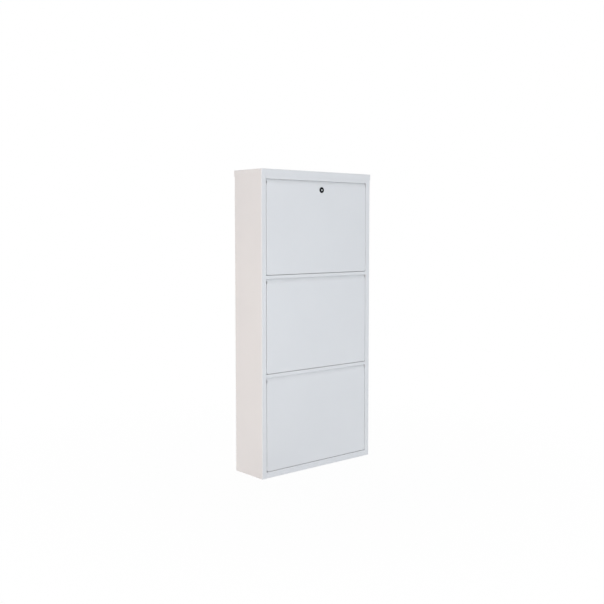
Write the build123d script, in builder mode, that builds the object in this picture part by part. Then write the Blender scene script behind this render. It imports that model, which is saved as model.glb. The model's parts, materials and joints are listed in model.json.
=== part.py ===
"""Slim steel shoe cabinet with three tilt-out flaps, one above the other.

Millimetres, +Z up, +Y to the back. The origin is on the floor, in the middle of the lid's outline.
A sheet part is a folded strip: the line along its outside is drawn with rounded bends and then given
the thickness of the sheet.
"""
from build123d import *
import os
from math import cos, radians, sin, tan

os.makedirs("parts", exist_ok=True)

# ---- driving dimensions -------------------------------------------------------------------

# overall
width = 500.0  # over the lid
depth = 150.0  # over the lid
flap_names = ["bottom", "middle", "top"]
glide_proud = 2.0  # the body stands this far off the floor
base_face = 20.5  # visible front of the floor pan
rail_face = 11.7  # visible front of a rail
door_height = 315.5  # one door, from its bottom fold to the top of its grip lip
seam_gap = 1.4  # under a door
lip_gap = 0.4  # over a door's grip lip
side_gap = 2.0  # beside a door
skirt_height = 20.5  # of the lid
lid_overhang = 1.5  # of the lid's skirt over the body, all round

# sheet metal
sheet = 0.8
cheek_sheet = 1.0
inner_bend = 0.4  # inside radius of every fold
lid_bend = 1.4  # outside radius of the lid's folds
fold_clearance = 0.1  # between an edge and the inside of the fold that it lies in

# carcass folds
front_flange = 19.0  # front face of a side wall, beside the doors
flange_return = 14.0  # inner return of that face, and the depth of the rails
rear_flange = 15.0
rail_hem = 6.0  # upturned edge of a rail's lower fold
rail_tab_depth = 12.0  # end tab of a rail
rail_tab_height = 6.0
top_rail_seat = 20.0  # upper fold of the top rail, under the lid
pan_back = 16.0  # upturned rear edge of the floor pan

# door folds
door_return = 12.0
lip_radius = 22.0
lip_sweep = 42.0  # degrees that the grip lip turns back
lip_land = 0.9  # straight part between the lip's roll and its hem
lip_hem = 8.0
corner_relief = 3.5  # open corner between two folds

# pivots
pivot_inset = 6.0  # behind the door's face
pivot_rise = 14.0  # above the door's bottom fold
pin_radius = 2.5
pin_play = 0.05  # radial, pin in bush and plug in lock
pin_reach = 6.5  # beyond the face of the frame's return
pin_head_radius = 4.2
pin_head = 1.6
pin_point = 0.5  # chamfer of its free end
bush_radius = 4.0
bush_flange_radius = 5.5
bush_flange = 1.0
bush_length = 3.5  # behind the frame's return
bush_barb = 0.4
open_angle = 40.0
rest_clearance = 0.3  # where a moving piece meets its stop

# shoe bin behind a door
bin_height = 150.0  # rear edge, above the door's bottom fold
cheek_flange = 10.0
cheek_top_depth = 11.0
cheek_top_drop = 3.0  # top of a cheek below the end of the door's flat face
cheek_rounding = 12.0  # upper rear corner of a cheek
cheek_top_rounding = 8.0
tray_hem = 8.0
head_clearance = 0.5  # between a pin's head and the tray
stop_margin = 4.6  # of the stop tab from the cheek's edges
stop_width = 16.0
stop_reach = 9.5  # of the tab, out of the cheek
buffer_height = 13.6  # behind the bin's rear wall
buffer_radius = 6.0
buffer_taper = 1.0
buffer_stem_radius = 2.5
buffer_stem = 3.0
buffer_drop = 28.0  # below the bin's rear edge
buffer_spacing = 300.0

# rivets
rivet_radius = 1.6
rivet_head_radius = 2.8
rivet_crown_radius = 1.6
rivet_head = 1.0
rivet_bulb_radius = 2.3
rivet_bulb = 1.4
hole_play = 0.05  # radial, round every fixed pin, rivet and stem
door_rivet_rise = 90.0  # lower one, above the door's bottom fold
door_rivet_drop = 45.0  # upper one, below the top of the grip lip
floor_rivet_front = 30.0  # behind the pivot
floor_rivet_rear = 16.5  # before the bin's rear
wall_rivet_rise = 60.0  # in the bin's rear wall, above the door's bottom fold
back_rivet_rows = 6
back_rivet_end = 60.0  # first and last row, from the ends of the back sheet
top_rail_rivet_step = 17.0  # between the two rivets of the top rail

# lock of the top door
lock_offset = 14.5  # to the right of the middle
lock_drop = 30.0  # below the top of the grip lip
lock_head_radius = 9.2
lock_crown_radius = 8.6
lock_head = 1.4
lock_body_radius = 8.0
cam_clearance = 1.0  # behind the rail's hem and the door's
plug_radius = 4.5
plug_nose_radius = 3.0  # in the front of the housing
plug_recess = 0.3
bezel_lip = 0.7  # of the housing, in front of the plug's shoulder
key_slot_width = 1.5
key_slot_height = 4.6
key_slot_depth = 6.0
nut_width = 19.0
nut_height = 4.0
tang_width = 6.0
cam_sheet = 1.6
cam_hub_radius = 8.5
cam_tip_radius = 5.0
cam_length = 46.0
cam_screw_radius = 2.0
cam_screw_depth = 7.0
cam_screw_head_radius = 4.0
cam_screw_head = 2.4
screw_slot_width = 1.0

# glides and wall fixing
glide_radius = 9.0
glide_inset = 26.0  # from the faces of the body
glide_stem_radius = 3.0
glide_stem = 4.0
glide_edge = 0.5  # chamfer round its sole
wall_hole_radius = 4.0
wall_hole_spacing = 400.0
wall_hole_drop = 48.0  # below the top of the back sheet

# ---- derived places -----------------------------------------------------------------------

outer_bend = sheet + inner_bend
flap_pitch = seam_gap + door_height + lip_gap + rail_face
base_top = glide_proud + base_face
body_top = base_top + len(flap_names) * flap_pitch + skirt_height - sheet
height = body_top + sheet
front = -depth / 2 + lid_overhang
back = depth / 2 - lid_overhang
side = width / 2 - lid_overhang
back_sheet_face = back - 2 * sheet
opening_side = side - front_flange
door_side = opening_side - side_gap
door_bottoms = {
    name: base_top + seam_gap + level * flap_pitch for level, name in enumerate(flap_names)
}

lip_roll = lip_radius * tan(radians(lip_sweep / 2))
lip_slope = lip_roll + lip_land + outer_bend / tan(radians(lip_sweep / 2))
lip_depth = lip_slope * sin(radians(lip_sweep))
lip_tip = outer_bend / tan(radians(lip_sweep / 2)) - outer_bend  # that the rounding takes off
lip_corner = door_height + lip_tip - lip_slope * cos(radians(lip_sweep))
flat_height = lip_corner - lip_roll
door_rivet_rises = [door_rivet_rise, door_height - door_rivet_drop]

pivot_y = front + pivot_inset
cheek_outer = door_side - sheet
cheek_inner = cheek_outer - cheek_sheet
cheek_bend = cheek_sheet + inner_bend
cheek_front = front + outer_bend + fold_clearance
tray_side = cheek_inner - inner_bend - fold_clearance
tray_rear = back_sheet_face - rest_clearance - buffer_height
cheek_rear = tray_rear + cheek_sheet
rivet_line = cheek_outer - cheek_flange / 2  # of the rivets in the cheeks' flanges
floor_rivet_ys = [pivot_y + floor_rivet_front, cheek_rear - floor_rivet_rear]
buffer_xs = [-buffer_spacing / 2, buffer_spacing / 2]

# stop tab, from the pivot: behind the frame's return and upright when the flap is open
open_turn = radians(open_angle)
stop_gap = flange_return - pivot_inset + rest_clearance
stop_foot = Vector(0, stop_gap * cos(open_turn), -stop_gap * sin(open_turn))
stop_up = Vector(0, sin(open_turn), cos(open_turn))
slope_foot = Vector(0, cheek_rear - cheek_bend - pivot_y, bin_height - pivot_rise)
slope_top = Vector(0, cheek_top_depth - pivot_inset, flat_height - cheek_top_drop - pivot_rise)
slope_normal = (slope_top - slope_foot).cross(Vector(1, 0, 0))
slope_cross = (slope_foot - stop_foot).dot(slope_normal) / stop_up.dot(slope_normal)
rear_cross = (slope_foot.Y - stop_foot.Y) / stop_up.Y
stop_height = min(slope_cross, rear_cross) - stop_margin - stop_width / 2

lock_z = door_bottoms["top"] + door_height - lock_drop
lock_front = front - lock_head
plug_rear = front + max(lip_depth, flange_return) + cam_clearance
lock_rear = plug_rear - rest_clearance


# ---- shared shapes ------------------------------------------------------------------------


def save(piece, label):
    """Name a finished piece and write it."""
    piece.part.label = label
    export_step(piece.part, f"parts/{label}.step")


def folded_strip(points, thickness=sheet, radius=None, line_side=Side.LEFT):
    """Section of a folded sheet, from the line along its outside."""
    with BuildSketch() as section:
        with BuildLine():
            FilletPolyline(*points, radius=radius or thickness + inner_bend)
            offset(amount=thickness, side=line_side)
        make_face()
    return section.sketch


def across(x, y, z, direction=1):
    """Plane at a point, looking along X."""
    return Plane(origin=(x, y, z), x_dir=(0, 1, 0), z_dir=(direction, 0, 0))


def backward(x, y, z):
    """Plane at a point, looking to the back."""
    return Plane(origin=(x, y, z), x_dir=(-1, 0, 0), z_dir=(0, 1, 0))


def forward(x, y, z):
    """Plane at a point, looking to the front."""
    return Plane(origin=(x, y, z), x_dir=(1, 0, 0), z_dir=(0, -1, 0))


def downward(x, y, z):
    """Plane at a point, looking down."""
    return Plane(origin=(x, y, z), x_dir=(1, 0, 0), z_dir=(0, 0, -1))


def rivet(grip):
    """Blind rivet on Z through a grip of sheets: head above the origin, bulb under the grip."""
    with BuildPart() as blank:
        with BuildSketch(Plane.XZ):
            Polygon(
                (0, rivet_head),
                (rivet_crown_radius, rivet_head),
                (rivet_head_radius, 0),
                (rivet_radius, 0),
                (rivet_radius, -grip),
                (rivet_bulb_radius, -grip),
                (rivet_radius, -grip - rivet_bulb),
                (0, -grip - rivet_bulb),
                align=None,
            )
        revolve(axis=Axis.Z)
    return blank.part


carcass_rivet = rivet(2 * sheet)
bin_rivet = rivet(sheet + cheek_sheet)


def stop_face(bottom):
    """Plane on the front of a stop tab, in the closed flap."""
    return Plane(
        origin=Vector(0, pivot_y, bottom + pivot_rise) + stop_foot,
        x_dir=(1, 0, 0),
        z_dir=stop_up.cross(Vector(-1, 0, 0)),
    )


# ---- carcass ------------------------------------------------------------------------------

back_rivet_x = side - rear_flange / 2
back_rivet_zs = [
    glide_proud + back_rivet_end
    + row * (body_top - glide_proud - 2 * back_rivet_end) / (back_rivet_rows - 1)
    for row in range(back_rivet_rows)
]
rail_rivet_y = front + rail_tab_depth / 2
rail_bottoms = {name: z + door_height + lip_gap for name, z in door_bottoms.items()}
top_rail_rivet_zs = [
    rail_bottoms["top"] + rail_face / 2,
    rail_bottoms["top"] + rail_face / 2 + top_rail_rivet_step,
]
rail_rivet_zs = [rail_bottoms[name] + rail_face / 2 for name in flap_names[:-1]]
rail_rivet_zs += top_rail_rivet_zs
pivot_zs = [z + pivot_rise for z in door_bottoms.values()]

side_section = folded_strip(
    [
        (-opening_side, front + flange_return),
        (-opening_side, front),
        (-side, front),
        (-side, back),
        (-side + rear_flange, back),
    ],
    line_side=Side.RIGHT,
)

with BuildPart() as left_side_panel:
    with BuildSketch(Plane.XY.offset(glide_proud)):
        add(side_section)
    extrude(amount=body_top - glide_proud)
    # the inner return stands on the floor pan
    with BuildSketch(Plane.XY.offset(glide_proud)):
        with Locations((-side + sheet, front + sheet)):
            Rectangle(front_flange, flange_return, align=Align.MIN)
    extrude(amount=sheet, mode=Mode.SUBTRACT)
    with Locations(*[across(-opening_side, pivot_y, z) for z in pivot_zs]):
        Hole(bush_radius + hole_play, depth=2 * sheet)
    with Locations(*[across(-opening_side, rail_rivet_y, z) for z in rail_rivet_zs]):
        Hole(rivet_radius + hole_play, depth=2 * sheet)
    with Locations(*[backward(-back_rivet_x, back, z) for z in back_rivet_zs]):
        Hole(rivet_radius + hole_play, depth=2 * sheet)
save(left_side_panel, "left_side_panel")

with BuildPart() as right_side_panel:
    mirror(left_side_panel.part, about=Plane.YZ)
save(right_side_panel, "right_side_panel")

wall_hole_xs = [-wall_hole_spacing / 2, wall_hole_spacing / 2]

with BuildPart() as back_panel:
    with BuildSketch(Plane.XY.offset(glide_proud)):
        with Locations((0, back_sheet_face + sheet / 2)):
            Rectangle(2 * (side - outer_bend - fold_clearance), sheet)
    extrude(amount=body_top - glide_proud)
    with Locations(
        *[backward(x, back - sheet, z) for x in (-back_rivet_x, back_rivet_x) for z in back_rivet_zs]
    ):
        Hole(rivet_radius + hole_play, depth=sheet)
    with Locations(*[backward(x, back - sheet, body_top - wall_hole_drop) for x in wall_hole_xs]):
        Hole(wall_hole_radius, depth=sheet)
save(back_panel, "back_panel")

glide_xs = [-side + glide_inset, side - glide_inset]
glide_ys = [front + glide_inset, back - glide_inset]
glide_places = [(x, y) for x in glide_xs for y in glide_ys]

pan_section = folded_strip(
    [
        (front + flange_return, base_top - rail_hem),
        (front + flange_return, base_top),
        (front, base_top),
        (front, glide_proud),
        (back_sheet_face, glide_proud),
        (back_sheet_face, glide_proud + pan_back),
    ]
)

with BuildPart() as bottom_panel:
    with BuildSketch(Plane.YZ):
        add(pan_section)
    extrude(amount=opening_side, both=True)
    # the floor runs under the side walls' returns, out to the walls
    with BuildSketch(Plane.XY.offset(glide_proud)):
        with Locations((0, front + sheet)):
            Rectangle(
                2 * (side - sheet),
                back_sheet_face - front - sheet - outer_bend,
                align=(Align.CENTER, Align.MIN),
            )
        chamfer(vertices(), length=inner_bend + fold_clearance)
    extrude(amount=sheet)
    with Locations(*[(x, y, glide_proud + sheet) for x, y in glide_places]):
        Hole(glide_stem_radius + hole_play, depth=sheet)
save(bottom_panel, "bottom_panel")


def front_rail(bottom, top, upper_fold, rivet_zs):
    """Channel between the side walls' returns, with a riveted tab at each end."""
    section = folded_strip(
        [
            (front + flange_return, bottom + rail_hem),
            (front + flange_return, bottom),
            (front, bottom),
            (front, top),
            (front + upper_fold, top),
        ],
        line_side=Side.RIGHT,
    )
    with BuildPart() as rail:
        with BuildSketch(Plane.YZ):
            add(section)
        extrude(amount=opening_side, both=True)
        with BuildSketch(Plane.YZ.offset(opening_side - sheet)):
            with Locations(*[(front + sheet / 2, z) for z in rivet_zs]):
                Rectangle(rail_tab_depth - sheet / 2, rail_tab_height, align=(Align.MIN, Align.CENTER))
        extrude(amount=sheet)
        with Locations(*[across(opening_side, rail_rivet_y, z) for z in rivet_zs]):
            Hole(rivet_radius + hole_play, depth=sheet)
        split(bisect_by=Plane.YZ)
        mirror(about=Plane.YZ)
    return rail


lower_cross_rail = front_rail(
    rail_bottoms["bottom"], rail_bottoms["bottom"] + rail_face, flange_return, rail_rivet_zs[:1]
)
save(lower_cross_rail, "lower_cross_rail")
upper_cross_rail = front_rail(
    rail_bottoms["middle"], rail_bottoms["middle"] + rail_face, flange_return, rail_rivet_zs[1:2]
)
save(upper_cross_rail, "upper_cross_rail")
top_rail = front_rail(rail_bottoms["top"], body_top, top_rail_seat, top_rail_rivet_zs)
save(top_rail, "top_rail")

with BuildPart() as top_cap:
    with BuildSketch(Plane.XY.offset(height - skirt_height)):
        RectangleRounded(width, depth, lid_bend)
    extrude(amount=skirt_height)
    fillet(faces().sort_by(Axis.Z)[-1].edges(), radius=lid_bend)
    offset(amount=-sheet, openings=faces().sort_by(Axis.Z)[0])
save(top_cap, "top_cap")

with BuildPart() as foot_glides:
    with Locations(*[downward(x, y, glide_proud) for x, y in glide_places]):
        Cylinder(glide_radius, glide_proud, align=(Align.CENTER, Align.CENTER, Align.MIN))
        Cylinder(glide_stem_radius, glide_stem, align=(Align.CENTER, Align.CENTER, Align.MAX))
    chamfer(faces().group_by(Axis.Z)[0].edges(), length=glide_edge)
save(foot_glides, "foot_glides")

with BuildPart() as back_panel_rivets:
    with Locations(
        *[backward(x, back, z) for x in (-back_rivet_x, back_rivet_x) for z in back_rivet_zs]
    ):
        add(carcass_rivet)
save(back_panel_rivets, "back_panel_rivets")

with BuildPart() as rail_rivets:
    with Locations(
        *[
            across(direction * (opening_side - sheet), rail_rivet_y, z, -direction)
            for direction in (-1, 1)
            for z in rail_rivet_zs
        ]
    ):
        add(carcass_rivet)
save(rail_rivets, "rail_rivets")

with BuildPart() as bush_blank:
    with BuildSketch(Plane.XZ):
        Polygon(
            (pin_radius + pin_play, bush_flange),
            (bush_flange_radius, bush_flange),
            (bush_flange_radius, 0),
            (bush_radius, 0),
            (bush_radius, -sheet),
            (bush_radius + bush_barb, -sheet - bush_barb),
            (bush_radius, -sheet - bush_length),
            (pin_radius + pin_play, -sheet - bush_length),
            align=None,
        )
    revolve(axis=Axis.Z)

with BuildPart() as pivot_bushes:
    with Locations(
        *[
            across(direction * opening_side, pivot_y, z, -direction)
            for direction in (-1, 1)
            for z in pivot_zs
        ]
    ):
        add(bush_blank.part)
save(pivot_bushes, "pivot_bushes")

# ---- flaps --------------------------------------------------------------------------------


def door_pan(bottom, has_lock):
    """Front of a flap: flat face, three narrow folds and the grip lip, in one sheet."""
    face_section = folded_strip(
        [
            (front, bottom + outer_bend),
            (front, bottom + lip_corner),
            (front + lip_depth, bottom + door_height + lip_tip),
            (front + lip_depth, bottom + door_height - lip_hem),
        ],
        radius=[lip_radius, outer_bend],
        line_side=Side.RIGHT,
    )
    bottom_section = folded_strip(
        [(front + door_return, bottom), (front, bottom), (front, bottom + corner_relief)],
        line_side=Side.RIGHT,
    )
    side_fold_section = folded_strip(
        [(-door_side, front + door_return), (-door_side, front), (-door_side + corner_relief, front)]
    )
    with BuildPart() as pan:
        with BuildSketch(Plane.YZ):
            add(face_section)
        extrude(amount=door_side - outer_bend, both=True)
        with BuildSketch(Plane.YZ):
            add(bottom_section)
        extrude(amount=door_side - corner_relief, both=True)
        with BuildSketch(Plane.XY.offset(bottom + corner_relief)):
            add(side_fold_section)
            mirror(about=Plane.YZ)
        extrude(amount=flat_height - corner_relief)
        with Locations(*[across(door_side, pivot_y, bottom + pivot_rise)]):
            Hole(pin_radius + hole_play, depth=2 * door_side)
        with Locations(*[across(door_side, pivot_y, bottom + rise) for rise in door_rivet_rises]):
            Hole(rivet_radius + hole_play, depth=2 * door_side)
        if has_lock:
            with Locations(forward(lock_offset, front, lock_z)):
                Hole(lock_body_radius + hole_play, depth=sheet)
    return pan


def cheek_plate(bottom):
    """Left side of a shoe bin: plate with two flanges and a stop tab lanced out of it."""
    base = bottom + sheet
    floor_section = folded_strip(
        [
            (-cheek_outer, base + corner_relief),
            (-cheek_outer, base),
            (-cheek_outer + cheek_flange, base),
        ],
        cheek_sheet,
    )
    rear_section = folded_strip(
        [
            (-cheek_outer, cheek_rear - corner_relief),
            (-cheek_outer, cheek_rear),
            (-cheek_outer + cheek_flange, cheek_rear),
        ],
        cheek_sheet,
        line_side=Side.RIGHT,
    )
    with BuildPart() as cheek:
        with BuildSketch(Plane.YZ.offset(-cheek_outer)):
            with BuildLine():
                FilletPolyline(
                    (cheek_front, base + cheek_bend),
                    (cheek_rear - cheek_bend, base + cheek_bend),
                    (cheek_rear - cheek_bend, bottom + bin_height),
                    (front + cheek_top_depth, bottom + flat_height - cheek_top_drop),
                    (cheek_front, bottom + flat_height - cheek_top_drop),
                    radius=[0, 0, cheek_rounding, cheek_top_rounding, 0],
                    close=True,
                )
            make_face()
        extrude(amount=cheek_sheet)
        with BuildSketch(Plane.XZ.offset(-cheek_front)):
            add(floor_section)
        extrude(amount=-(cheek_rear - corner_relief - cheek_front))
        with BuildSketch(Plane.XY.offset(base + corner_relief)):
            add(rear_section)
        extrude(amount=bin_height - sheet - corner_relief - cheek_rounding)
        with BuildSketch(stop_face(bottom)):
            with Locations((-cheek_inner, stop_height)):
                Rectangle(cheek_sheet + stop_reach, stop_width, align=(Align.MAX, Align.CENTER))
        extrude(amount=-cheek_sheet)
        # the window that the tab was lanced from
        with BuildSketch(stop_face(bottom)):
            with Locations((-cheek_inner, stop_height)):
                Rectangle(2 * cheek_sheet, stop_width, align=(Align.MAX, Align.CENTER))
        extrude(amount=stop_reach, mode=Mode.SUBTRACT)
        with Locations(across(-cheek_inner, pivot_y, bottom + pivot_rise)):
            Hole(pin_radius + hole_play, depth=cheek_sheet)
        with Locations(*[across(-cheek_inner, pivot_y, bottom + rise) for rise in door_rivet_rises]):
            Hole(rivet_radius + hole_play, depth=cheek_sheet)
        with Locations(*[(-rivet_line, y, base + cheek_sheet) for y in floor_rivet_ys]):
            Hole(rivet_radius + hole_play, depth=cheek_sheet)
        with Locations(backward(-rivet_line, cheek_rear, bottom + wall_rivet_rise)):
            Hole(rivet_radius + hole_play, depth=cheek_sheet)
    return cheek


def bin_tray(bottom):
    """Floor and rear wall of a shoe bin, in one folded sheet."""
    floor = bottom + sheet + cheek_sheet
    section = folded_strip(
        [
            (front + sheet, bottom + pivot_rise - pin_head_radius - head_clearance),
            (front + sheet, floor),
            (tray_rear, floor),
            (tray_rear, bottom + bin_height),
            (tray_rear - tray_hem, bottom + bin_height),
        ]
    )
    with BuildPart() as tray:
        with BuildSketch(Plane.YZ):
            add(section)
        extrude(amount=tray_side, both=True)
        with Locations(*[(x, y, floor + sheet) for x in (-rivet_line, rivet_line) for y in floor_rivet_ys]):
            Hole(rivet_radius + hole_play, depth=sheet)
        with Locations(
            *[backward(x, tray_rear, bottom + wall_rivet_rise) for x in (-rivet_line, rivet_line)]
        ):
            Hole(rivet_radius + hole_play, depth=sheet)
        with Locations(*[backward(x, tray_rear, bottom + bin_height - buffer_drop) for x in buffer_xs]):
            Hole(buffer_stem_radius + hole_play, depth=sheet)
    return tray


def pin_pair(bottom):
    """The two shouldered pins that a flap turns on."""
    with BuildPart() as pins:
        with Locations(
            *[
                across(direction * cheek_inner, pivot_y, bottom + pivot_rise, direction)
                for direction in (-1, 1)
            ]
        ):
            Cylinder(pin_head_radius, pin_head, align=(Align.CENTER, Align.CENTER, Align.MAX))
            Cylinder(
                pin_radius,
                opening_side + pin_reach - cheek_inner,
                align=(Align.CENTER, Align.CENTER, Align.MIN),
            )
        rims = edges().filter_by(GeomType.CIRCLE).group_by(Axis.X)
        chamfer(rims[0] + rims[-1], length=pin_point)
    return pins


def buffer_pair(bottom):
    """The two rubber buffers that a closed bin rests on."""
    with BuildPart() as buffers:
        with Locations(*[backward(x, tray_rear, bottom + bin_height - buffer_drop) for x in buffer_xs]):
            Cone(
                buffer_radius,
                buffer_radius - buffer_taper,
                buffer_height,
                align=(Align.CENTER, Align.CENTER, Align.MIN),
            )
            Cylinder(
                buffer_stem_radius,
                sheet + buffer_stem,
                align=(Align.CENTER, Align.CENTER, Align.MAX),
            )
    return buffers


def bin_rivet_set(bottom):
    """Rivets of one flap: cheeks to door, and tray to cheeks."""
    base = bottom + sheet
    with BuildPart() as rivets:
        with Locations(
            *[
                across(direction * door_side, pivot_y, bottom + rise, direction)
                for direction in (-1, 1)
                for rise in door_rivet_rises
            ],
            *[downward(x, y, base) for x in (-rivet_line, rivet_line) for y in floor_rivet_ys],
            *[backward(x, cheek_rear, bottom + wall_rivet_rise) for x in (-rivet_line, rivet_line)],
        ):
            add(bin_rivet)
    return rivets


for name, bottom in door_bottoms.items():
    door = door_pan(bottom, name == "top")
    save(door, f"{name}_door")
    left_cheek = cheek_plate(bottom)
    save(left_cheek, f"{name}_left_cheek")
    with BuildPart() as right_cheek:
        mirror(left_cheek.part, about=Plane.YZ)
    save(right_cheek, f"{name}_right_cheek")
    save(bin_tray(bottom), f"{name}_bin_tray")
    save(pin_pair(bottom), f"{name}_pivot_pins")
    save(buffer_pair(bottom), f"{name}_bin_buffers")
    save(bin_rivet_set(bottom), f"{name}_bin_rivets")

# ---- lock of the top door -----------------------------------------------------------------

lock_face = forward(lock_offset, front, lock_z)

with BuildPart() as lock_housing:
    with Locations(lock_face):
        Cone(
            lock_head_radius,
            lock_crown_radius,
            lock_head,
            align=(Align.CENTER, Align.CENTER, Align.MIN),
        )
        Cylinder(lock_body_radius, lock_rear - front, align=(Align.CENTER, Align.CENTER, Align.MAX))
    # the plug goes in from behind, up to the lip
    with Locations(backward(lock_offset, lock_rear, lock_z)):
        CounterBoreHole(
            plug_nose_radius + pin_play,
            plug_radius + pin_play,
            lock_rear - lock_front - bezel_lip,
            depth=lock_rear - lock_front,
        )
save(lock_housing, "lock_housing")

with BuildPart() as lock_nut:
    with BuildSketch(Plane.XZ.offset(-front - sheet)):
        with Locations((lock_offset, lock_z)):
            RegularPolygon(nut_width / 2, 6, major_radius=False)
            Circle(lock_body_radius + hole_play, mode=Mode.SUBTRACT)
    extrude(amount=-nut_height)
save(lock_nut, "lock_nut")

with BuildPart() as lock_plug:
    with Locations(backward(lock_offset, plug_rear, lock_z)):
        Cylinder(
            plug_nose_radius,
            plug_rear - lock_front - plug_recess,
            align=(Align.CENTER, Align.CENTER, Align.MAX),
        )
        Cylinder(
            plug_radius,
            plug_rear - lock_front - bezel_lip - pin_play,
            align=(Align.CENTER, Align.CENTER, Align.MAX),
        )
    with BuildSketch(Plane.XZ.offset(-plug_rear)):
        with Locations((lock_offset, lock_z)):
            Rectangle(tang_width, tang_width)
    extrude(amount=-(cam_sheet - hole_play))
    with BuildSketch(Plane.XZ.offset(-lock_front - plug_recess)):
        with Locations((lock_offset, lock_z)):
            Rectangle(key_slot_width, key_slot_height)
    extrude(amount=-key_slot_depth, mode=Mode.SUBTRACT)
    with Locations(backward(lock_offset, plug_rear + cam_sheet - hole_play, lock_z)):
        Hole(cam_screw_radius + hole_play, depth=cam_screw_depth + cam_sheet)
save(lock_plug, "lock_plug")

with BuildPart() as lock_cam:
    with BuildSketch(Plane.XZ.offset(-plug_rear)):
        with Locations((lock_offset, lock_z)):
            Circle(cam_hub_radius)
        with Locations((lock_offset + cam_length - cam_tip_radius, lock_z)):
            Circle(cam_tip_radius)
        make_hull()
        with Locations((lock_offset, lock_z)):
            Rectangle(tang_width + 2 * hole_play, tang_width + 2 * hole_play, mode=Mode.SUBTRACT)
    extrude(amount=-cam_sheet)
save(lock_cam, "lock_cam")

with BuildPart() as lock_cam_screw:
    with Locations(backward(lock_offset, plug_rear + cam_sheet, lock_z)):
        Cylinder(cam_screw_head_radius, cam_screw_head, align=(Align.CENTER, Align.CENTER, Align.MIN))
        Cylinder(cam_screw_radius, cam_screw_depth, align=(Align.CENTER, Align.CENTER, Align.MAX))
    with BuildSketch(Plane.XZ.offset(-plug_rear - cam_sheet - cam_screw_head)):
        with Locations((lock_offset, lock_z)):
            Rectangle(2 * cam_screw_head_radius, screw_slot_width)
    extrude(amount=cam_screw_head / 2, mode=Mode.SUBTRACT)
save(lock_cam_screw, "lock_cam_screw")
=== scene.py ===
"""Looks of the slim steel shoe cabinet: coat, metal, plastic and rubber, in a white studio."""

import json
import math

import bmesh
import bpy
from mathutils import Matrix, Vector


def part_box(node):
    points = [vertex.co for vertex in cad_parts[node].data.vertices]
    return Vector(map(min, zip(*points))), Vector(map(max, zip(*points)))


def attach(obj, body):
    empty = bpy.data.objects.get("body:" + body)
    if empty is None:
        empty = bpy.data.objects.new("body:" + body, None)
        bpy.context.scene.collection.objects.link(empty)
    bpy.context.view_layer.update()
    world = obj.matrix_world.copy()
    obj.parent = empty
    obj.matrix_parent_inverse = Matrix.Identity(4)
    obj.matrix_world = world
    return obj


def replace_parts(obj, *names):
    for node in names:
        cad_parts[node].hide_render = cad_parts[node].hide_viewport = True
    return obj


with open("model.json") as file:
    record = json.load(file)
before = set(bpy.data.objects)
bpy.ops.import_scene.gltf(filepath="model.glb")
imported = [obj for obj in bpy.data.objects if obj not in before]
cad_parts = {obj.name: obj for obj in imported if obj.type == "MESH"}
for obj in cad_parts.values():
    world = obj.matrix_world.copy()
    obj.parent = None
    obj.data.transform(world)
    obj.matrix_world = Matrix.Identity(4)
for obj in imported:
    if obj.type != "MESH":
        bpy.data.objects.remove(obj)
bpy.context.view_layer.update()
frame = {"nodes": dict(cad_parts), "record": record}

MM = 0.001
WELD = 0.001 * MM  # points nearer than this are one

# ---- camera -------------------------------------------------------------------------------

CAMERA_PITCH = 3.944  # degrees below level
CAMERA_YAW = 40.729  # degrees from the front, towards the left side

camera_data = bpy.data.cameras.new("camera")
camera_data.lens = 51.695
camera_data.shift_y = -0.02
camera = bpy.data.objects.new("camera", camera_data)
camera.location = (-1.9982, -2.3073, 0.8298)
camera.rotation_euler = (math.radians(90 - CAMERA_PITCH), 0, math.radians(-CAMERA_YAW))
bpy.context.scene.collection.objects.link(camera)
bpy.context.scene.camera = camera
bpy.context.scene.view_settings.view_transform = "Standard"


# ---- node helpers -------------------------------------------------------------------------

# the mix node's colour sockets come after those for plain values and vectors
COLOUR_A = 6
COLOUR_B = 7
COLOUR_RESULT = 2

# most of a noise texture's values lie between these
NOISE_LOW = 0.3
NOISE_HIGH = 0.7

# cosine of the turn from the flat normal to the eased one, where wear starts and is full
WEAR_START = 0.995
WEAR_FULL = 0.85


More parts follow.
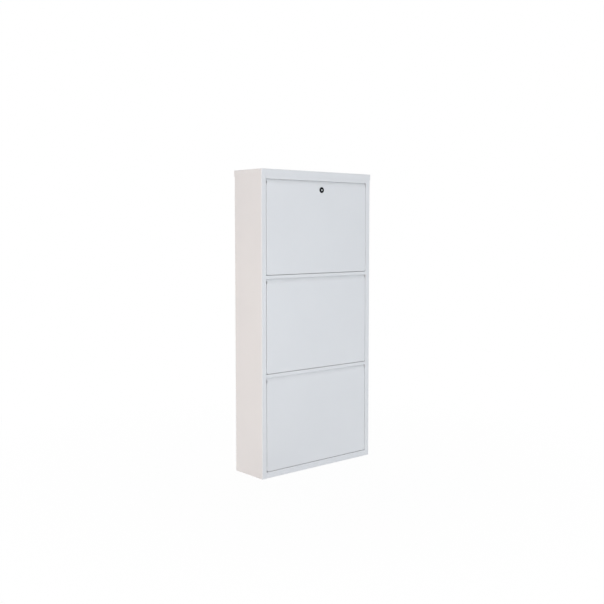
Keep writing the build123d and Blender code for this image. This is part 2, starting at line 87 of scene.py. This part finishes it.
class Graph:
    """The nodes of one material, on the object's own coordinates."""

    def __init__(self, name):
        self.material = bpy.data.materials.new(name)
        self.material.use_nodes = True
        self.nodes = self.material.node_tree.nodes
        self.links = self.material.node_tree.links
        self.shader = self.nodes["Principled BSDF"]
        self.place = self.nodes.new("ShaderNodeTexCoord").outputs["Object"]

    def set(self, **values):
        """Values that are the same all over, on the shader's own sockets."""
        for name, value in values.items():
            self.shader.inputs[name.replace("_", " ")].default_value = value

    def stretched(self, scale):
        """The object's coordinates, scaled along each axis."""
        mapping = self.nodes.new("ShaderNodeMapping")
        mapping.inputs["Scale"].default_value = scale
        self.links.new(self.place, mapping.inputs["Vector"])
        return mapping.outputs["Vector"]

    def noise(self, scale, detail=2.0, place=None):
        """Soft noise with scale blotches to the metre."""
        texture = self.nodes.new("ShaderNodeTexNoise")
        texture.inputs["Scale"].default_value = scale
        texture.inputs["Detail"].default_value = detail
        self.links.new(place or self.place, texture.inputs["Vector"])
        return texture.outputs["Fac"]

    def ramp(self, value, low, high):
        """A noise value spread over a range."""
        spread = self.nodes.new("ShaderNodeMapRange")
        spread.inputs["From Min"].default_value = NOISE_LOW
        spread.inputs["From Max"].default_value = NOISE_HIGH
        spread.inputs["To Min"].default_value = low
        spread.inputs["To Max"].default_value = high
        self.links.new(value, spread.inputs["Value"])
        return spread.outputs["Result"]

    def blend(self, value, first, second):
        """Colour between two colours; the first may vary already."""
        mix = self.nodes.new("ShaderNodeMix")
        mix.data_type = "RGBA"
        start = mix.inputs[COLOUR_A]
        if isinstance(first, tuple):
            start.default_value = (*first, 1)
        else:
            self.links.new(first, start)
        mix.inputs[COLOUR_B].default_value = (*second, 1)
        self.links.new(value, mix.inputs["Factor"])
        return mix.outputs[COLOUR_RESULT]

    def colour(self, value):
        self.links.new(value, self.shader.inputs["Base Color"])

    def roughness(self, value):
        self.links.new(value, self.shader.inputs["Roughness"])

    def maths(self, operation, first, second):
        """Product or the like of two values that vary."""
        node = self.nodes.new("ShaderNodeMath")
        node.operation = operation
        self.links.new(first, node.inputs[0])
        self.links.new(second, node.inputs[1])
        return node.outputs["Value"]

    def rounded(self, radius):
        """Normal of the surface with its sharp edges eased to a radius."""
        bevel = self.nodes.new("ShaderNodeBevel")
        bevel.samples = 6
        bevel.inputs["Radius"].default_value = radius
        return bevel.outputs["Normal"]

    def edges(self, reach, speckle):
        """1 on edges and corners and 0 a reach away from them, broken up by noise."""
        turn = self.nodes.new("ShaderNodeVectorMath")
        turn.operation = "DOT_PRODUCT"
        self.links.new(self.rounded(reach), turn.inputs[0])
        flat = self.nodes.new("ShaderNodeNewGeometry").outputs["Normal"]
        self.links.new(flat, turn.inputs[1])
        worn = self.nodes.new("ShaderNodeMapRange")
        worn.inputs["From Min"].default_value = WEAR_START
        worn.inputs["From Max"].default_value = WEAR_FULL
        self.links.new(turn.outputs["Value"], worn.inputs["Value"])
        broken = self.ramp(self.noise(speckle, 3.0), 0.2, 1.0)
        return self.maths("MULTIPLY", worn.outputs["Result"], broken)

    def bump(self, height, strength, distance, edge):
        """Relief of the surface over its eased edges; distance and edge in metres."""
        relief = self.nodes.new("ShaderNodeBump")
        relief.inputs["Strength"].default_value = strength
        relief.inputs["Distance"].default_value = distance
        self.links.new(height, relief.inputs["Height"])
        self.links.new(self.rounded(edge), relief.inputs["Normal"])
        self.links.new(relief.outputs["Normal"], self.shader.inputs["Normal"])


# ---- materials ----------------------------------------------------------------------------


def powder_coat():
    """Satin white powder coat: faint clouds, orange peel, and thinner paint on edges."""
    g = Graph("white_coat")
    cloud = g.ramp(g.noise(6.0, 3.0), 0.0, 1.0)
    tint = g.blend(cloud, (0.722, 0.720, 0.728), (0.738, 0.736, 0.742))
    g.colour(g.blend(g.edges(0.5 * MM, 900), tint, (0.58, 0.59, 0.60)))
    g.roughness(g.ramp(g.noise(60.0), 0.40, 0.48))
    g.bump(g.noise(700.0, 1.0), strength=0.10, distance=0.05 * MM, edge=0.25 * MM)
    return g.material


def bright_metal(name, dark, light, rough, grain):
    """Plated or turned metal: fine marks along the grain, and edges rubbed bright."""
    g = Graph(name)
    marks = g.noise(1.0, 3.0, g.stretched(grain))
    tint = g.blend(g.ramp(marks, 0.0, 1.0), dark, light)
    g.colour(g.blend(g.edges(0.2 * MM, 2500), tint, (0.86, 0.86, 0.87)))
    g.roughness(g.ramp(marks, rough - 0.06, rough + 0.08))
    g.bump(marks, strength=0.15, distance=0.02 * MM, edge=0.10 * MM)
    g.set(Metallic=1.0)
    return g.material


def moulded(name, dark, light, worn, rough, grain, gloss=0.5):
    """Moulded plastic, rubber or coated die casting: fine grain, and edges of a worn colour."""
    g = Graph(name)
    cloud = g.ramp(g.noise(grain / 8), 0.0, 1.0)
    tint = g.blend(cloud, dark, light)
    g.colour(g.blend(g.edges(0.25 * MM, 2000), tint, worn))
    g.roughness(g.ramp(cloud, rough - 0.04, rough + 0.06))
    g.bump(g.noise(grain, 2.0), strength=0.2, distance=0.03 * MM, edge=0.15 * MM)
    g.set(Specular_IOR_Level=gloss)
    return g.material


finishes = {
    "white_coat": powder_coat(),
    "plated_steel": bright_metal(
        "plated_steel", (0.58, 0.59, 0.61), (0.70, 0.71, 0.72), 0.30, (900, 2400, 900)
    ),
    "rivet_aluminium": bright_metal(
        "rivet_aluminium", (0.64, 0.65, 0.66), (0.76, 0.77, 0.78), 0.42, (1800, 1800, 1800)
    ),
    "bush_nylon": moulded(
        "bush_nylon", (0.70, 0.70, 0.67), (0.76, 0.76, 0.73), (0.80, 0.80, 0.78), 0.48, 1200
    ),
    "glide_plastic": moulded(
        "glide_plastic", (0.58, 0.58, 0.57), (0.64, 0.64, 0.63), (0.50, 0.50, 0.49), 0.55, 1400
    ),
    "buffer_rubber": moulded(
        "buffer_rubber", (0.020, 0.020, 0.020), (0.032, 0.032, 0.032), (0.06, 0.06, 0.06), 0.8, 1600
    ),
    "lock_black": moulded(
        "lock_black",
        (0.004, 0.005, 0.006),
        (0.007, 0.008, 0.010),
        (0.02, 0.02, 0.02),
        0.5,
        1500,
        gloss=0.1,
    ),
    "lock_steel": bright_metal(
        "lock_steel", (0.66, 0.67, 0.68), (0.78, 0.79, 0.80), 0.34, (2600, 600, 600)
    ),
}

slots = {part["node"]: part["material_slot"] for part in frame["record"]["subparts"]}
for name, node in frame["nodes"].items():
    for holder in node.material_slots:
        holder.material = finishes[slots[name]]


# ---- rivets -------------------------------------------------------------------------------

RIVET_SEGMENTS = 32
RIM = 0.9  # of the head's radius, outside which a point is on its rim
CROWN = 0.45  # of the head's radius, the edge of the dent round the mandrel
CROWN_HEIGHT = 0.9  # of the head's height
MANDREL = 0.32  # of the head's radius
MANDREL_DEPTH = 0.5 * MM
DOME_ANGLES = range(30, 91, 12)
SHANK = 1.6 * MM  # radius
BULB = 2.3 * MM  # radius
BULB_LENGTH = 1.4 * MM
BULB_MIDDLE = 0.3  # of the bulb's length, below the grip
BULB_HALF = 0.7  # of the bulb's length
BULB_ANGLES = range(25, -91, -23)


def islands(node):
    """Points of each separate solid of a CAD node."""
    shape = bmesh.new()
    shape.from_mesh(frame["nodes"][node].data)
    bmesh.ops.remove_doubles(shape, verts=shape.verts, dist=WELD)
    seen = set()
    groups = []
    for seed in shape.verts:
        if seed in seen:
            continue
        seen.add(seed)
        group = [seed]
        for point in group:
            for edge in point.link_edges:
                other = edge.other_vert(point)
                if other not in seen:
                    seen.add(other)
                    group.append(other)
        groups.append([point.co.copy() for point in group])
    shape.free()
    return groups


def rivet_place(points):
    """Matrix with +Z out of a rivet's head and its origin under it; radius, height and length."""
    low = Vector([min(p[i] for p in points) for i in range(3)])
    high = Vector([max(p[i] for p in points) for i in range(3)])
    span = high - low
    axis = min(range(3), key=lambda i: span[i])
    middle = (low + high) / 2
    radius = max(span) / 2
    rim = [p for p in points if (p - middle).length > RIM * radius]
    seat = sum(p[axis] for p in rim) / len(rim)
    out = Vector([0, 0, 0])
    out[axis] = 1 if seat > middle[axis] else -1
    middle[axis] = seat
    turn = out.to_track_quat("Z", "Y").to_matrix().to_4x4()
    height = (high[axis] - seat) if out[axis] > 0 else (seat - low[axis])
    return Matrix.Translation(middle) @ turn, radius, height, span[axis]


def rivet_profile(radius, height, length):
    """Half section of a blind rivet, as (radius, height), from the crown to the end of the bulb."""
    dome = [(radius * math.sin(a), height * math.cos(a)) for a in map(math.radians, DOME_ANGLES)]
    grip = height - length + BULB_LENGTH
    bulb = [
        (BULB * math.cos(a), grip - BULB_LENGTH * (BULB_MIDDLE - BULB_HALF * math.sin(a)))
        for a in map(math.radians, BULB_ANGLES)
    ]
    return [
        (0, height - MANDREL_DEPTH),
        (MANDREL * radius, height - MANDREL_DEPTH),
        (CROWN * radius, CROWN_HEIGHT * height),
        *dome,
        (SHANK, 0),
        (SHANK, grip),
        *bulb,
        (0, height - length),
    ]


def lathe(shape, profile, segments, place):
    """Adds to a shape the surface that a profile makes round Z, at a place."""
    rings = []
    for radius, height in profile:
        count = segments if radius else 1
        turns = [2 * math.pi * step / count for step in range(count)]
        ring = [Vector((radius * math.cos(t), radius * math.sin(t), height)) for t in turns]
        rings.append([shape.verts.new(place @ point) for point in ring])
    for first, second in zip(rings, rings[1:]):
        for step in range(segments):
            after = (step + 1) % segments
            corners = [first[step % len(first)], second[step % len(second)]]
            corners += [second[after % len(second)], first[after % len(first)]]
            shape.faces.new(list(dict.fromkeys(corners)))


def piece(name, shape, body, slot):
    """Finished shape as a piece that rides on a body."""
    bmesh.ops.recalc_face_normals(shape, faces=shape.faces)
    mesh = bpy.data.meshes.new(name)
    shape.to_mesh(mesh)
    shape.free()
    mesh.materials.append(finishes[slot])
    mesh.shade_smooth()
    made = bpy.data.objects.new(name, mesh)
    bpy.context.scene.collection.objects.link(made)
    crease = made.modifiers.new("crease", "EDGE_SPLIT")
    crease.split_angle = math.radians(40)
    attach(made, body)
    return made


def domed_rivets(node, body):
    """Blind rivets with domed heads, broken mandrels and swollen tails, where the CAD has them."""
    shape = bmesh.new()
    for points in islands(node):
        place, radius, height, length = rivet_place(points)
        lathe(shape, rivet_profile(radius, height, length), RIVET_SEGMENTS, place)
    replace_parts(piece(f"{node}_domed", shape, body, "rivet_aluminium"), node)


bodies = frame["record"]["behaviour"]["bodies"]
for body, members in bodies.items():
    for node in members:
        if slots[node] == "rivet_aluminium":
            domed_rivets(node, body)

# ---- lock, behind the door ----------------------------------------------------------------

THREAD_PITCH = 1.5 * MM
THREAD_RISE = 0.25 * MM
THREAD_STEPS = 48  # to a turn
THREAD_FOOT = 0.45  # of the pitch, from the ridge to its foot on each side
THREAD_SUNK = 0.1 * MM  # of the foot, into the housing
THREAD_FADE = 8  # steps in which the ridge rises and ends
NUT_STEPS = 96
NUT_CHAMFER = math.tan(math.radians(30))
NUT_FACE = 0.97  # of the width over flats, where the chamfer starts
NUT_BORE_CHAMFER = 0.4 * MM
RING_SEGMENTS = 96
RING_HOLE = 3.6 * MM  # radius
RING_OVERHANG = 0.8 * MM  # of the ring past the rim of the CAD head
RING_PROUD = 0.05 * MM  # of the ring over the face of the CAD head
RING_EDGE = 0.3 * MM  # upright edge under the roll
RING_ROLL = 1.2 * MM  # width of the roll
RING_ANGLES = range(0, 91, 15)


def bore_radius(node, centre):
    """Radius of a node's hole along Y, the least distance of its points from the middle."""
    points = [vertex.co for vertex in frame["nodes"][node].data.vertices]
    return min(math.hypot(point.x - centre.x, point.z - centre.z) for point in points)


def bridge(shape, first, second):
    """Band of faces between two closed sections."""
    for side in range(len(first)):
        after = (side + 1) % len(first)
        shape.faces.new((first[side], first[after], second[after], second[side]))


def lock_thread():
    """Fine screw thread on the lock housing, from the nut to the housing's end."""
    low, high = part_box("lock_nut")
    centre = (low + high) / 2
    radius = bore_radius("lock_nut", centre)
    foot = radius - THREAD_SUNK
    turns = (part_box("lock_housing")[1].y - high.y) / THREAD_PITCH - 1
    count = int(turns * THREAD_STEPS)
    shape = bmesh.new()
    sections = []
    for step in range(count + 1):
        turn = 2 * math.pi * step / THREAD_STEPS
        rise = THREAD_RISE * min(1, step / THREAD_FADE, (count - step) / THREAD_FADE)
        along = high.y + THREAD_PITCH * (0.5 + step / THREAD_STEPS)
        section = []
        for reach, slip in ((foot, -THREAD_FOOT), (radius + rise, 0), (foot, THREAD_FOOT)):
            out = Vector((reach * math.sin(turn), slip * THREAD_PITCH, reach * math.cos(turn)))
            section.append(shape.verts.new(out + Vector((centre.x, along, centre.z))))
        sections.append(section)
    for first, second in zip(sections, sections[1:]):
        bridge(shape, first, second)
    shape.faces.new(sections[0])
    shape.faces.new(sections[-1])
    piece("lock_thread", shape, "top_flap", "lock_black")


def hexagon_nut():
    """Lock nut with its corners turned off at both ends, where the CAD has a plain hexagon."""
    low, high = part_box("lock_nut")
    centre = (low + high) / 2
    inner = bore_radius("lock_nut", centre)
    flat = min(high.x - low.x, high.z - low.z) / 2
    first_corner = 0 if high.x - low.x > high.z - low.z else 30
    thick = high.y - low.y
    face = NUT_FACE * flat
    shape = bmesh.new()
    sections = []
    for step in range(NUT_STEPS):
        angle = 360 * step / NUT_STEPS
        off = math.radians((angle - first_corner) % 60 - 30)
        outer = flat / math.cos(off)
        cut = (outer - face) * NUT_CHAMFER
        turn = math.radians(angle)
        outline = [
            (inner, NUT_BORE_CHAMFER),
            (inner + NUT_BORE_CHAMFER, 0),
            (face, 0),
            (outer, cut),
            (outer, thick - cut),
            (face, thick),
            (inner + NUT_BORE_CHAMFER, thick),
            (inner, thick - NUT_BORE_CHAMFER),
        ]
        points = [
            (centre.x + r * math.cos(turn), low.y + along, centre.z + r * math.sin(turn))
            for r, along in outline
        ]
        sections.append([shape.verts.new(point) for point in points])
    for first, second in zip(sections, sections[1:] + sections[:1]):
        bridge(shape, first, second)
    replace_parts(piece("hexagon_nut", shape, "top_flap", "plated_steel"), "lock_nut")


def lock_ring():
    """Rolled black ring that lies on the door over the lock's head, round the plug."""
    low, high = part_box("lock_housing")
    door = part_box("top_door")[0].y
    centre = Vector(((low.x + high.x) / 2, door, (low.z + high.z) / 2))
    forward = Vector((0, -1, 0)).to_track_quat("Z", "Y").to_matrix().to_4x4()
    rim = (high.x - low.x) / 2 + RING_OVERHANG
    top = door - low.y + RING_PROUD
    roll = [
        (rim - RING_ROLL * (1 - math.sin(a)), RING_EDGE + (top - RING_EDGE) * math.cos(a))
        for a in map(math.radians, RING_ANGLES)
    ]
    section = [(RING_HOLE, 0), (RING_HOLE, top), *roll, (rim, 0), (RING_HOLE, 0)]
    shape = bmesh.new()
    lathe(shape, section, RING_SEGMENTS, Matrix.Translation(centre) @ forward)
    bmesh.ops.remove_doubles(shape, verts=shape.verts, dist=WELD)
    piece("lock_ring", shape, "top_flap", "lock_black")


lock_thread()
hexagon_nut()
lock_ring()

# ---- studio -------------------------------------------------------------------------------

FLOOR_HALF = 6.0
FADE_START = 0.4  # from the middle of the cabinet's foot, where the floor's shadow starts to fade
FADE_END = 1.5
WHITE_NEAR = 0.97  # share of plain white in the floor near the cabinet


def studio_floor():
    """Pale floor that keeps the cabinet's shadow near it and fades to plain white."""
    mesh = bpy.data.meshes.new("floor")
    sheet = bmesh.new()
    bmesh.ops.create_grid(sheet, x_segments=1, y_segments=1, size=FLOOR_HALF)
    sheet.to_mesh(mesh)
    sheet.free()
    floor = bpy.data.objects.new("floor", mesh)
    bpy.context.scene.collection.objects.link(floor)

    g = Graph("floor")
    g.set(Base_Color=(0.92, 0.92, 0.92, 1), Roughness=0.9)
    reach = g.nodes.new("ShaderNodeVectorMath")
    reach.operation = "LENGTH"
    g.links.new(g.place, reach.inputs[0])
    fade = g.nodes.new("ShaderNodeMapRange")
    fade.interpolation_type = "SMOOTHSTEP"
    fade.inputs["From Min"].default_value = FADE_START
    fade.inputs["From Max"].default_value = FADE_END
    fade.inputs["To Min"].default_value = WHITE_NEAR
    fade.inputs["To Max"].default_value = 1.0
    g.links.new(reach.outputs["Value"], fade.inputs["Value"])
    share = g.maths("MULTIPLY", fade.outputs["Result"], seen_rays(g.nodes, g.links))
    white = g.nodes.new("ShaderNodeEmission")
    mix = g.nodes.new("ShaderNodeMixShader")
    g.links.new(share, mix.inputs["Fac"])
    g.links.new(g.shader.outputs["BSDF"], mix.inputs[1])
    g.links.new(white.outputs["Emission"], mix.inputs[2])
    g.links.new(mix.outputs["Shader"], g.nodes["Material Output"].inputs["Surface"])
    mesh.materials.append(g.material)


def seen_rays(nodes, links):
    """1 for rays from the camera, from gloss and through glass, which show the white background."""
    path = nodes.new("ShaderNodeLightPath")
    total = path.outputs["Is Camera Ray"]
    for name in ("Is Glossy Ray", "Is Transmission Ray"):
        either = nodes.new("ShaderNodeMath")
        either.operation = "MAXIMUM"
        links.new(total, either.inputs[0])
        links.new(path.outputs[name], either.inputs[1])
        total = either.outputs["Value"]
    return total


def studio_world(strength):
    """White to look at, and a softer even light."""
    world = bpy.data.worlds.new("studio")
    world.use_nodes = True
    nodes = world.node_tree.nodes
    links = world.node_tree.links
    light = nodes["Background"]
    light.inputs["Color"].default_value = (1, 1, 1, 1)
    light.inputs["Strength"].default_value = strength
    white = nodes.new("ShaderNodeBackground")
    white.inputs["Color"].default_value = (1, 1, 1, 1)
    mix = nodes.new("ShaderNodeMixShader")
    links.new(seen_rays(nodes, links), mix.inputs["Fac"])
    links.new(light.outputs["Background"], mix.inputs[1])
    links.new(white.outputs["Background"], mix.inputs[2])
    links.new(mix.outputs["Shader"], nodes["World Output"].inputs["Surface"])
    bpy.context.scene.world = world


def soft_lamp(name, place, aim, size, power, colour):
    """Square soft box at a place, turned to its aim."""
    data = bpy.data.lights.new(name, "AREA")
    data.size = size
    data.energy = power
    data.color = colour
    lamp = bpy.data.objects.new(name, data)
    lamp.location = place
    lamp.rotation_euler = (Vector(aim) - Vector(place)).to_track_quat("-Z", "Y").to_euler()
    lamp.visible_camera = False
    bpy.context.scene.collection.objects.link(lamp)


middle = (0, 0, 0.55)
studio_floor()
studio_world(0.44)
soft_lamp("key_box", (-3.6, -4.2, 0.7), middle, 2.0, 134, (0.9, 0.925, 1.0))
soft_lamp("front_box", (0.8, -3.0, 0.1), middle, 1.4, 25, (0.67, 0.88, 1.0))
soft_lamp("side_box", (-2.6, -0.2, 0.15), middle, 1.1, 22.5, (1.0, 0.76, 0.56))
soft_lamp("back_box", (3.0, 3.4, 0.9), middle, 2.0, 100, (1.0, 1.0, 1.0))
soft_lamp("top_box", (0.3, 0.7, 3.4), middle, 1.1, 12, (1.0, 1.0, 1.0))
